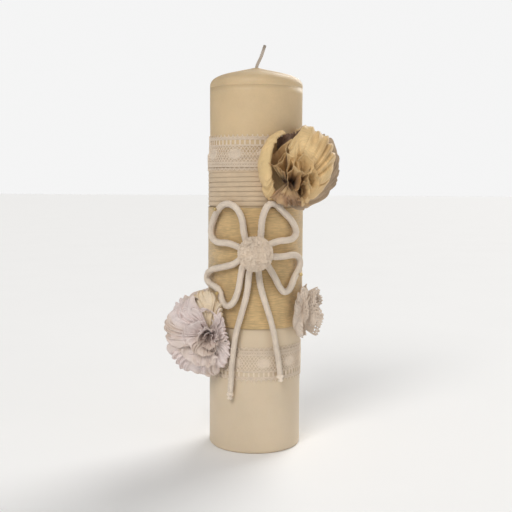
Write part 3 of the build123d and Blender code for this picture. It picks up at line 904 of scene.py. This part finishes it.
def make_pompom(sizes, colours):
    """The pompom: curled wool fibres that stand out of a lumpy ball, spread by the golden angle."""
    low, high = (np.array(c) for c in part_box("pompom"))
    centre = np.array([0, low[1] + sizes.pompom_radius, (low[2] + high[2]) / 2])
    flat = high[1] - 0.0001
    material = fibre_finish("fluffy wool", colours.wool, 1500, 0.0003, sheen=0.25, depth=0.06, rough=0.92)
    shape = Shape()
    t, a = np.meshgrid(np.linspace(0, math.pi, 60), np.arange(96) / 96 * TURN, indexing="ij")
    way = np.stack([np.sin(t) * np.cos(a), np.sin(t) * np.sin(a), np.cos(t)], -1)
    lump = 1 + 0.022 * np.sin(7 * way[..., 0] + 5 * way[..., 2]) * np.sin(9 * way[..., 1] - 3) \
        + 0.018 * np.sin(23 * way[..., 2] + 4) * np.sin(21 * way[..., 0])
    ball = centre + way * (sizes.pompom_radius * 0.93 * lump)[..., None]
    ball[..., 1] = np.minimum(ball[..., 1], flat)
    shape.grid(ball, (60, 60), (False, True))
    count, steps = 4200, 5
    k = np.arange(count) + 0.5
    z = 1 - 2 * k / count
    a = k * math.pi * (3 - math.sqrt(5))
    rng = np.random.default_rng(21)
    way = np.stack([np.sqrt(1 - z * z) * np.cos(a), np.sqrt(1 - z * z) * np.sin(a), z], -1)
    way = unit(way + rng.normal(0, 0.10, way.shape))
    clump = np.sin(8 * way[:, :1] + 3 * way[:, 1:2]) + np.sin(9 * way[:, 2:] - 4 * way[:, :1] + 1)
    lean = rng.normal(0, 1.0, (count, 3)) + clump * np.array([0.6, 0.3, -0.6])
    lean = unit(lean - (lean * way).sum(1, keepdims=True) * way)
    s = np.linspace(0, 1, steps)[None, :, None]
    top = rng.uniform(0.96, 1.05, count)[:, None, None]
    curl = rng.uniform(0.10, 0.32, count)[:, None, None]
    root = 0.90
    radius = sizes.pompom_radius * (root + (top - root) * np.sin(s * 1.45) / math.sin(1.45))
    fibre = centre + way[:, None] * radius + lean[:, None] * curl * s**2 * sizes.pompom_radius
    fibre[..., 1] = np.minimum(fibre[..., 1], flat)
    thick = 0.00036 * (1 - 0.66 * np.linspace(0, 1, steps) ** 2) * rng.uniform(0.7, 1.2, count)[:, None]
    shape.tubes(fibre, np.broadcast_to(unit(np.cross(way, lean))[:, None], fibre.shape), thick, 4)
    pompom = shape.make("wool_pompom")
    finish_piece(pompom, ["pompom"], material)


# ---------------------------------------------------------------- flowers

def pushed_clear(points, radius, lines=(), gap=0.0032):
    """Moves points out to at least a radius from the candle's axis, softly, and then a gap away from each
    cord."""
    flat = points.reshape(-1, 3).copy()
    r = np.hypot(flat[:, 0], flat[:, 1])
    soft = 0.0008
    new = radius + soft * np.logaddexp(0, (r - radius) / soft)
    flat[:, :2] *= (new / np.maximum(r, 1e-6))[:, None]
    for line in lines:
        for start in range(0, len(flat), 4000):
            part = flat[start:start + 4000]
            off = part[:, None] - line[None]
            far = np.linalg.norm(off, axis=2)
            near = far.argmin(1)
            pick = np.arange(len(part))
            dist = far[pick, near]
            way = unit(off[pick, near] + part * (0.4, 0.4, 0))
            need = np.clip(gap - dist, 0, None) * smoothstep((gap * 1.4 - dist) / (0.4 * gap))
            flat[start:start + 4000] = part + way * need[:, None]
    return flat.reshape(points.shape)


def petal_points(apex, rim, core, bulge, folds, depth, seed, pleat=0.6, across=180, along=44, frill=0.7,
                 sweep=0.0,
                 curl=0.0, sharp=0.45):
    """A gathered petal, in millimetres: each point runs from the apex to a smooth rim, arched away from the
    core and swept sideways, and rises and falls in folds of uneven width that merge and lean over."""
    edge = evenly(through(np.array(rim, float), 400), across)
    u, v = np.meshgrid(np.linspace(0, 1, across), np.linspace(0.02, 1, along), indexing="ij")
    apex = np.array(apex, float)
    straight = apex + (edge[:, None] - apex) * v[..., None]
    out = unit(straight - np.array(core, float))
    arch = (4 * v * (1 - v)) ** 0.8
    reach = np.linalg.norm(edge - apex, axis=1)[:, None]
    sideways = unit(np.gradient(edge, axis=0))[:, None]
    swept = sideways * (sweep * reach * np.sin(v * math.pi) * v)[..., None]
    points = straight + out * (bulge * arch)[..., None] + swept
    wander = 0.65 * waves(seed + 1, u, 4, 0.6, 2.4) + 0.45 * waves(seed + 2, 0.6 * v + 0.9 * u, 4, 0.5,
                                                                   1.8) * v
    phase = (u * folds + wander * folds / 4 + 0.13 * seed) * TURN
    round_ = np.sin(phase + 0.45 * np.sin(phase + 1))
    fold = (1 + sharp) * (1 - np.abs(round_) ** 1.4 * 1.25) * sharp + (1 - sharp) * round_
    fold = fold + 0.12 * np.sin(2.6 * phase + 4 * v + 1) + 0.04 * np.sin(5.1 * phase + 7 * v)
    size = 0.75 + 0.6 * waves(seed + 3, u + 0.3 * v, 4, 0.8, 3.0)
    grown = v**0.6 * (1 - 0.45 * v**3)
    frilled = frill * np.sin(phase * 2.3 + 3 + 2 * u) * smoothstep((v - 0.55) / 0.45)
    frilled += curl * smoothstep((v - 0.8) / 0.2)
    frilled += 0.12 * np.sin(phase * 6.1 + 9 * v) * v
    return points + out * (depth * fold * size * grown + frilled)[..., None] \
        + sideways * (pleat * depth * np.cos(phase) * grown)[..., None]


def curl_points(apex, mouth, wide, tall, facing, seed, turn=0.94, across=90, along=40, point=0.35, lean=0.35):
    """A rolled fold, in millimetres: a cone from the apex whose section opens into a drop-shaped mouth, cut
    on a slant so that the mouth looks the way it faces."""
    apex, mouth, facing = (np.array(x, float) for x in (apex, mouth, facing))
    along_way = unit(mouth - apex)
    up = unit(np.array([0, 1.0, 0]) - along_way[1] * along_way)
    side = np.cross(along_way, up)
    u, v = np.meshgrid(np.linspace(0, 1, across), np.linspace(0.03, 1, along), indexing="ij")
    phi = (u - 0.5) * TURN * turn + math.pi / 2
    drop = 1 + point * np.clip(np.cos(phi - math.pi / 2), 0, 1) ** 3
    opened = v**0.8 * (1 + 0.14 * smoothstep((v - 0.85) / 0.15))
    wob = 1 + 0.16 * waves(seed, u, 4, 1, 3) + 0.05 * np.sin(9 * phi + seed + 2 * v) * v
    a = wide * np.cos(phi) * opened * wob * (1 + 0.12 * (u - 0.5))
    b = tall * np.sin(phi) * opened * drop * wob
    reach = np.linalg.norm(mouth - apex)
    centre = apex + (mouth - apex) * v[..., None] + unit(facing) * (reach * 0.10 * v**2)[..., None]
    slant = (a[..., None] * side + b[..., None] * up) @ unit(facing)
    return centre + a[..., None] * side + b[..., None] * up - along_way * (lean * slant * v)[..., None]


def placed(points, middle):
    """Flower millimetres, right, up and towards the front, as row-frame metres about the flower's middle."""
    turned = np.stack([points[..., 0], -points[..., 2], points[..., 1]], -1)
    return turned * MM + np.array(middle)


def make_cloth(name, node, grids, material, thickness, keeps=None):
    """A cloth piece from its grids of points; the size it was cut to is worked out, but nothing uses it."""
    shape, area, rim, deep = Shape(), 0.0, 0.0, 0.0
    for number, points in enumerate(grids):
        keep = keeps[number] if keeps else None
        pieces = area_of(points)
        area += float(pieces.sum() if keep is None else pieces[keep].sum())
        size = run_of(points[:, -1]), run_of(points[len(points) // 2])
        shape.grid(points, (size[0] / MM, size[1] / MM), keep=keep)
        rim, deep = rim + size[0], max(deep, size[1])
    cloth = shape.make(name)
    finish_piece(cloth, [node], material, thickness)
    wide = max(rim, area / (0.95 * deep))
    float(np.clip(area, LEAST_SHARE * wide * deep, wide * deep))


def flower_middle(azimuth, height, stands):
    """The middle of a flower that stands off the wax at an azimuth and height."""
    a = math.radians(azimuth)
    r = (WAX_RADIUS + stands) * MM
    return (r * math.sin(a), -r * math.cos(a), height * MM)


def make_gold_flower(sizes, colours):
    """The gold flower: broad cupped lobes round a gathered point at its lower left, with rolled folds that
    stand open at the heart."""
    middle = flower_middle(44.0, 213.2, 8.5)
    # painted shade: this brown darkens the back layer, the rust petals and the curls near the gathered point
    # and inside the rolled folds
    brown = (0.13, 0.070, 0.035)
    # painted shade: the gold cloth darkens to its heart colour near the gathered point
    gold = cloth_finish("gold taffeta", colours.gold, TAFFETA_WEAVE, TAFFETA_RISE, rough=0.50, streak=0.08,
                        depth=0.22,
                        warm=(0.70, 0.47, 0.22), heart=(0.20, 0.11, 0.055), reach=(1, 11))
    # painted light: the crescent's cloth is a lighter copy of the gold, painted for its brighter lit look
    pale = cloth_finish("pale gold taffeta", tuple(min(c * 1.08, 1) for c in colours.gold), TAFFETA_WEAVE,
                        TAFFETA_RISE, rough=0.5,
                        streak=0.05, depth=0.14, warm=(0.76, 0.55, 0.27))
    # painted shade: the back layer's cloth is a darker, greyer copy of the gold, for the shadow it lies in
    back_layer_shade = cloth_finish("dun taffeta", (0.50, 0.37, 0.25), TAFFETA_WEAVE, TAFFETA_RISE, rough=0.55,
                       streak=0.15, depth=0.16,
                       heart=brown, reach=(2, 14))
    rust = cloth_finish("brown gathered taffeta", (0.42, 0.25, 0.14), TAFFETA_WEAVE, TAFFETA_RISE,
                        rough=0.55, depth=0.2,
                        warm=(0.58, 0.39, 0.20), heart=brown, reach=(1, 9))
    # painted shade: a dark cloth for the sheet in the upper left gap, where only shade shows between the
    # petals
    gap_shade = cloth_finish("dusky taffeta", (0.22, 0.13, 0.085), TAFFETA_WEAVE, TAFFETA_RISE, rough=0.6,
                         depth=0.25)
    apex = (-9.5, -20.0, 6.0)
    petals = [
        (pale, [dict(rim=[(-9, 22, 8), (-13.5, 19.5, 13), (-17, 13, 17), (-18.5, 5, 19), (-18.5, -3, 19.5),
                          (-17.5, -10, 18), (-16, -16, 14), (-14, -20, 9)], apex=(-14, -6, -6),
                     core=(-4, 2, 4),
                     bulge=12.5, folds=5.0, depth=1.5, sweep=0.06, curl=0.8, sharp=0.3, frill=0.3)]),
        (gold, [dict(rim=[(-5, 15, 13), (-2, 20, 12), (2, 25, 10), (6, 28, 8), (11, 26, 7), (15, 23, 5),
                          (20, 20.5, 3), (24, 12, 2), (24.5, 2, 2), (21, -8, 3), (15, -17, 5), (8, -22.5, 7),
                          (4, -26, 9)],
                     core=(8, 0, -13), bulge=11.5, folds=7.4, depth=2.9, sweep=-0.14, apex=(3.5, -9, 10),
                     sharp=0.3, frill=0.35)]),
        (back_layer_shade, [dict(rim=[(4, 29.5, -1), (15, 24, -2), (23, 20.5, -3), (28, 13, -4), (30, 1, -4),
                         (28.4, -9, -4),
                         (22.5, -18.5, -3), (13, -24.5, 0), (4.5, -29.3, 4)], core=(0, 0, -12), bulge=7.0,
                    folds=5.6,
                    depth=2.0)]),
        (gold, [dict(rim=[(-3, 26, -8), (8, 25, -15), (18, 19, -20), (23, 8, -24), (23, -5, -24),
                          (18, -16, -20),
                         (9, -24, -12)], core=(2, 0, -18), bulge=9.0, folds=6.0, depth=2.4,
                     apex=(2, -8, -12)),
               dict(rim=[(12, 22, 0), (22, 16, -4), (25, 6, -9), (25, -4, -10), (21, -13, -8), (12, -21, -2)],
                    core=(0, 0, -10), bulge=6.0, folds=6.0, depth=2.2, apex=(8, -5, 2)),
               dict(rim=[(-12, 21, -2), (-22, 14, -6), (-27, 2, -8), (-26, -9, -6), (-19, -19, -2),
                         (-8, -26, 2)],
                    core=(-2, 0, -8), bulge=5.0, folds=4.0, depth=1.5, apex=(-6, -4, -8))]),
        (gap_shade, [dict(rim=[(-16, 20, 3), (-10, 22.5, 3), (-3, 24, 2), (3, 26, 0)], core=(-5, 0, -8),
                      bulge=2.0,
                      folds=4.4, depth=1.8, apex=(-10, -10, 4), sharp=0.3)]),
        (rust, [dict(rim=[(9, -27.3, 6), (1, -28.5, 10), (-5, -27.5, 12), (-9, -28, 13), (-15, -26, 12),
                          (-20, -21.5, 10)], core=(-6, -12, 0), bulge=3.0, folds=6.0, depth=2.0,
                     apex=(-7, -11, 16)),
                dict(rim=[(3, -24, 17), (-4, -24, 19), (-9, -22, 18), (-13, -18, 16)], core=(-6, -12, 0),
                     bulge=1.5,
                     folds=3.2, depth=2.0, apex=(-6, -11, 20))]),
    ]
    curls = [
        [dict(mouth=(-13.5, 6.5, 15.0), wide=5.2, tall=9.0, facing=(-0.2, 0.5, 1), point=0.5),
         dict(mouth=(-8.5, 0.5, 21.0), wide=4.8, tall=6.4, facing=(-0.2, 0.5, 1), point=0.8)],
        [dict(mouth=(2.6, 0.0, 25.0), wide=6.2, tall=6.4, facing=(0.3, 0.35, 1), point=0.3),
         dict(mouth=(9.0, -10.0, 22.0), wide=4.8, tall=5.6, facing=(0.5, 0.1, 1), point=0.4),
         dict(mouth=(-3.5, 9.5, 19.0), wide=5.4, tall=6.4, facing=(0.0, 0.6, 1), point=0.5)],
        [dict(mouth=(-4.6, -9.5, 27.0), wide=4.8, tall=7.6, facing=(0.2, 0.3, 1), point=0.7),
         dict(mouth=(2.5, -18.0, 23.0), wide=4.2, tall=4.8, facing=(0.4, -0.2, 1), point=0.4)],
    ]
    # painted shade: the curls' cloth turns brown inside their rolled folds, fading to gold between 9 and 22
    # mm from the apex
    light = cloth_finish("shaded_inside taffeta", tuple(c * 0.98 for c in colours.gold), TAFFETA_WEAVE, TAFFETA_RISE,
                         rough=0.5,
                         streak=0.05, depth=0.2, warm=(0.45, 0.26, 0.11), heart=brown, reach=(9, 22))
    lines = [evenly(nurbs_line("beside", face_points(UPPER_RIGHT)), 90)]
    clear = (CANDLE_CLEAR + 1.1) * MM

    def laid(points):
        return pushed_clear(placed(points, middle), clear, lines)

    for number, (material, group) in enumerate(petals):
        grids = [laid(petal_points(seed=31 + number + 7 * k, **{"apex": apex, **petal})) for k,
                 petal in enumerate(group)]
        make_cloth(f"gold_petal_{number + 1}", f"organza_flower_petal_{number + 1}", grids,
                   material,
                   sizes.cloth_thickness)
    for number, group in enumerate(curls):
        grids = [laid(curl_points((-6.5, -15, 6), seed=61 + number + 5 * k, **curl)) for k,
                 curl in enumerate(group)]
        make_cloth(f"gold_curl_{number + 1}", f"organza_flower_curl_{number + 1}", grids, light,
                   sizes.cloth_thickness)


def make_pearl_flower(sizes, colours):
    """The pearl flower: long swept folds that gather at a deep point right of its middle."""
    middle = flower_middle(-62.0, 90.5, 12.3)
    # painted shade: the dusky colour at the pearl flower's deep gathered centre
    centre_shade = (0.42, 0.34, 0.31)
    pearl = cloth_finish("pearl satin", colours.pearl, SATIN_WEAVE, SATIN_RISE, rough=0.46, streak=0.1,
                         depth=0.14,
                         warm=(0.72, 0.60, 0.52), heart=centre_shade, reach=(-2, 6))
    cream = cloth_finish("cream satin", (0.82, 0.68, 0.50), SATIN_WEAVE, SATIN_RISE, rough=0.5, depth=0.14,
                         heart=centre_shade,
                         reach=(0, 8))
    apex = (7.0, -1.0, 8.0)
    petals = [
        dict(rim=[(1, 25, 13), (-4, 26.5, 10), (-9.5, 21.5, 9), (-13.5, 18, 8), (-19.5, 14, 6), (-22.5, 6, 5),
                  (-21.5, -2, 6), (-18, -6, 7)], bulge=10.5, folds=6.2, depth=2.9, sweep=0.34),
        dict(rim=[(-15, -7.5, 8), (-22.5, -10, 5), (-20.5, -15, 4), (-16.5, -20.5, 4), (-11.5, -26.5, 4),
                  (-4, -29.5, 5), (4, -31, 6)], bulge=8.5, folds=5.6, depth=2.7, sweep=-0.28),
        dict(rim=[(2, -31, 5), (10, -30.5, 6), (16, -26, 8), (21, -19.5, 9), (22.5, -11, 10), (20, -3, 10)],
             bulge=8.0, folds=4.8, depth=2.5, sweep=-0.25),
        dict(rim=[(21, -6, 11), (19, 4, 11), (17.5, 11, 11), (15, 18, 11)], bulge=7.5, folds=4.2, depth=2.0,
             sweep=0.2),
        dict(rim=[(17, 12, 9), (15, 21, 9), (9, 29, 6), (2, 30, 5), (-4, 26.5, 7), (-8, 22, 8)], bulge=8.0,
             folds=4.6,
             depth=2.2, sweep=0.15),
        dict(rim=[(6, 30, -4), (-8, 25, -8), (-18, 16, -11), (-23, 3, -13), (-21, -10, -13), (-12, -23, -10)],
             bulge=8.0, folds=5.0, depth=2.2, apex=(3, -3, -6)),
        dict(rim=[(5, 27, -16), (-8, 22, -21), (-16, 11, -25), (-19, -2, -26), (-15, -16, -24),
                  (-4, -27, -16),
                  (8, -29, -6)], bulge=6.0, folds=6.0, depth=2.0, apex=(4, -2, -14)),
    ]
    inner = [
        [dict(rim=[(9, 18, 15), (2, 20, 16), (-8, 19, 15), (-16, 12, 12), (-19.5, 4, 11), (-19, -3, 11)],
              bulge=5.5,
              folds=5.0, depth=3.1, sweep=0.5, curl=-2.2),
         dict(rim=[(8, 11, 21), (1, 11.5, 22), (-7, 8.5, 21), (-11.5, 2, 18.5), (-11, -4, 17)], bulge=3.5,
              folds=2.8,
              depth=2.2, sweep=0.5, curl=-2.0)],
        [dict(rim=[(19, -3, 15), (18.5, 6, 16), (15, 14, 17), (9, 19, 16)], bulge=4.0, folds=3.8, depth=3.0,
              sweep=-0.35, curl=-1.6),
         dict(rim=[(14, -10, 20), (15.5, -1, 21), (14, 7, 21), (10, 13, 20)], bulge=3.0, folds=4.0, depth=2.7,
              sweep=-0.35, curl=-1.6)],
        [dict(rim=[(-17, -8, 13), (-13, -15, 13), (-6, -21, 14), (3, -24, 15), (11, -22, 15),
                   (18, -13, 15)], bulge=4.5,
              folds=5.2, depth=3.0, sweep=-0.45, curl=-2.0),
         dict(rim=[(-7, -8, 19), (-1, -14, 20), (6, -15.5, 20), (13, -12.5, 19)], bulge=3.0, folds=3.8,
              depth=2.5,
              sweep=-0.4, curl=-1.6),
         dict(rim=[(1, -7, 23.5), (0.5, -1, 25), (3, 4.5, 25.5), (8, 6.5, 25.5), (12.5, 4, 25),
                   (14.5, -1.5, 24),
                   (13, -7, 23.5), (8, -9.5, 23.5), (3, -8.5, 23.5)], core=(7.5, -1.5, 21),
              apex=(7.5, -1.5, 5), bulge=0.5,
              folds=6.2, depth=2.3, sharp=0.3, sweep=0.15),
         dict(rim=[(4.5, -4, 21.5), (5, 0.5, 22), (8, 2.5, 22), (11, 0, 21.5), (10.5, -4, 21)],
              core=(8, -1.5, 17),
              apex=(8, -1.5, 5), bulge=0.5, folds=3.4, depth=1.5, sharp=0.3)],
    ]
    lines = [evenly(nurbs_line("beside", face_points(LOWER_LEFT)), 110),
             evenly(nurbs_line("beside", face_points(LEFT_TAIL)), 90)]
    clear = (CANDLE_CLEAR + 0.9) * MM

    def laid(points):
        return pushed_clear(placed(points, middle), clear, lines)

    for number, petal in enumerate(petals):
        grid = laid(petal_points(core=(2, 0, -8), seed=81 + number, sharp=0.7, **{"apex": apex, **petal}))
        make_cloth(f"pearl_petal_{number + 1}", f"satin_flower_petal_{number + 1}", [grid],
                   cream if number == 4 else pearl, sizes.cloth_thickness)
    for number, group in enumerate(inner):
        grids = [laid(petal_points(seed=101 + number + 5 * k,
                                   **{"apex": apex, "core": (4, -2, -6), "sharp": 0.6, **petal}))
                 for k, petal in enumerate(group)]
        make_cloth(f"pearl_fold_{number + 1}", f"satin_flower_curl_{number + 1}", grids, pearl,
                   sizes.cloth_thickness)


def eyelets(rim, deep, across, along):
    """Which quads of a lace panel are cloth: rows of round eyelets, the largest in the second row from the
    rim, and a scalloped rim."""
    x, y = np.meshgrid((np.arange(across - 1) + 0.5) / (across - 1) * rim,
                       (np.arange(along - 1) + 0.5) / (along - 1) * deep,
                       indexing="ij")
    keep = np.ones(x.shape, bool)
    for row, (down, pitch, size) in enumerate(
            ((1.9, 1.7, 0.42), (3.6, 2.6, 0.72), (5.3, 1.7, 0.42), (7.4, 2.6, 0.5), (9.4, 2.6, 0.5),
             (11.4, 2.6, 0.5))):
        off = (x / pitch + 0.5 * (row % 2)) % 1 - 0.5
        keep &= np.hypot(off * pitch, y - (deep - down)) > size
    return keep & (y < deep - 0.9 * np.abs(np.sin(x / 2.6 * math.pi)) ** 1.5)


def ring_points(inner, outer, low, high, ruffles, depth, seed, across, along):
    """A bell of cloth that opens to the right, in millimetres: a ring that widens early and climbs late, in
    folds that grow towards its rim."""
    u, v = np.meshgrid(np.linspace(0, 1, across), np.linspace(0, 1, along), indexing="ij")
    phase = ruffles * u * TURN + 0.9 * waves(seed, np.cos(u * TURN), 3, 0.3, 1.0) + seed
    angle = u * TURN + 0.6 * depth / outer * np.cos(phase) * v
    wave = np.sin(phase) + 0.25 * np.sin(2 * phase + 1)
    radius = inner + (outer - inner) * v**0.6 + 0.8 * depth * wave * v
    sway = 0.45 * depth * np.cos(phase + 0.6) + 1.4 * np.sin(2 * angle + seed)
    rise = low + (high - low) * v**1.5 + sway * v
    return np.stack([rise, radius * np.cos(angle), radius * np.sin(angle)], -1)


def make_lace_flower():
    """The lace flower: a folded panel of eyelet lace, and rings of it that open to the right, one inside
    another."""
    middle = flower_middle(75.0, 104.8, 6.3)
    material = fibre_finish("eyelet lace", (0.68, 0.57, 0.47), 2600, 0.00012, sheen=0.2, depth=0.12,
                            rough=0.8)
    panel = dict(apex=(-4, 2, 9), rim=[(-1, 18, 12), (-6, 17.5, 15), (-9.5, 10, 17), (-11, 1, 18.5),
                                       (-11.5, -7, 17.5),
                                       (-9, -14, 15.5), (-3, -18, 12)], core=(-4, 0, -6), bulge=6.5,
                 folds=3.2, depth=3.6, sharp=0.6)
    outer = [dict(inner=5, outer=16.5, low=-6, high=8.0, ruffles=5, depth=4.6, seed=4, across=420),
             dict(inner=4, outer=19.5, low=-7, high=-1, ruffles=8, depth=1.8, seed=6, across=420)]
    inner = [dict(inner=2, outer=9.5, low=-2, high=9.5, ruffles=5, depth=2.8, seed=9, across=400),
             dict(inner=0.8, outer=4.0, low=0, high=8, ruffles=4, depth=1.6, seed=12, across=200)]
    for name, node, panels, rings in (("lace_ruffle_outer", "lace_flower_outer_ruffle", [panel], outer),
                                      ("lace_ruffle_inner", "lace_flower_inner_ruffle", [], inner)):
        grids, keeps = [], []
        found = [petal_points(seed=144, across=240, along=56, **panel) for panel in panels]
        found += [ring_points(along=40, **ring) for ring in rings]
        for points in found:
            grids.append(pushed_clear(placed(points, middle), (CANDLE_CLEAR + 0.2) * MM))
            n, m = points.shape[:2]
            keeps.append(eyelets(run_of(points[:, -1]), run_of(points[n // 2]), n, m))
        make_cloth(name, node, grids, material, 0.0004, keeps)


# ---------------------------------------------------------------- operators

class StageAdd(bpy.types.Operator):
    """Add the floor, the lights and the camera"""

    bl_idname = "candle.stage"
    bl_label = "Stage"

    def execute(self, context):
        make_stage()
        return {"FINISHED"}


class BowAdd(bpy.types.Operator):
    """Add the cord bow's loops and tails"""

    bl_idname = "candle.bow"
    bl_label = "Cord bow"

    def execute(self, context):
        make_bow(context.scene.candle_sizes, context.scene.candle_colours)
        return {"FINISHED"}


class PillarAdd(bpy.types.Operator):
    """Add the wax pillar and its wick, and finish the small fittings"""

    bl_idname = "candle.pillar"
    bl_label = "Pillar and wick"

    def execute(self, context):
        make_pillar(context.scene.candle_sizes, context.scene.candle_colours)
        return {"FINISHED"}


class RibbonAdd(bpy.types.Operator):
    """Add the silk ribbon and the wound cord"""

    bl_idname = "candle.ribbon"
    bl_label = "Ribbon and wound cord"

    def execute(self, context):
        make_ribbon(context.scene.candle_sizes, context.scene.candle_colours)
        make_wrap(context.scene.candle_sizes, context.scene.candle_colours)
        return {"FINISHED"}


class LaceAdd(bpy.types.Operator):
    """Add the two lace bands"""

    bl_idname = "candle.lace"
    bl_label = "Lace bands"

    def execute(self, context):
        sizes = context.scene.candle_sizes
        thread = fibre_finish("lace thread", context.scene.candle_colours.lace, 2600, 0.00008, sheen=0.3,
                              rough=0.8)
        step = sizes.ribbon_low + sizes.ribbon_width + 0.0388
        make_lace("lace_band_upper", "upper_lace_band", sizes.upper_lace_low, False,
                  lambda z: LACE_OVER_WRAP - LACE_STEP_DOWN * smoothstep((z - step) / 0.0016), sizes, thread)
        make_lace("lace_band_lower", "lower_lace_band", sizes.lower_lace_low, True,
                  lambda z: LACE_ON_WAX + 0 * z, sizes, thread)
        return {"FINISHED"}


class PompomAdd(bpy.types.Operator):
    """Add the wool pompom"""

    bl_idname = "candle.pompom"
    bl_label = "Pompom"

    def execute(self, context):
        make_pompom(context.scene.candle_sizes, context.scene.candle_colours)
        return {"FINISHED"}


class FlowersAdd(bpy.types.Operator):
    """Add the gold, pearl and lace flowers"""

    bl_idname = "candle.flowers"
    bl_label = "Flowers"

    def execute(self, context):
        sizes, colours = context.scene.candle_sizes, context.scene.candle_colours
        make_gold_flower(sizes, colours)
        make_pearl_flower(sizes, colours)
        make_lace_flower()
        return {"FINISHED"}


OPERATORS = (StageAdd, BowAdd, PillarAdd, RibbonAdd, LaceAdd, PompomAdd, FlowersAdd)


class CandlePanel(bpy.types.Panel):
    """The candle's sizes, colours and pieces"""

    bl_idname = "VIEW3D_PT_candle"
    bl_label = "Unity Candle"
    bl_space_type = "VIEW_3D"
    bl_region_type = "UI"
    bl_category = "Candle"

    def draw(self, context):
        column = self.layout.column()
        for group in (context.scene.candle_sizes, context.scene.candle_colours):
            for name in group.__annotations__:
                column.prop(group, name)
        for operator in OPERATORS:
            column.operator(operator.bl_idname)


CLASSES = (CandleSizes, CandleColours, *OPERATORS, CandlePanel)


def register():
    """Adds the classes and the scene's settings."""
    for cls in CLASSES:
        bpy.utils.register_class(cls)
    bpy.types.Scene.candle_sizes = bpy.props.PointerProperty(type=CandleSizes)
    bpy.types.Scene.candle_colours = bpy.props.PointerProperty(type=CandleColours)


def unregister():
    """Takes them away again."""
    del bpy.types.Scene.candle_sizes
    del bpy.types.Scene.candle_colours
    for cls in reversed(CLASSES):
        bpy.utils.unregister_class(cls)


def main():
    """Builds the candle, one operator at a time."""
    register()
    bpy.ops.candle.stage()
    bpy.ops.candle.bow()
    bpy.ops.candle.pillar()
    bpy.ops.candle.ribbon()
    bpy.ops.candle.lace()
    bpy.ops.candle.pompom()
    bpy.ops.candle.flowers()


if __name__ == "__main__":
    main()
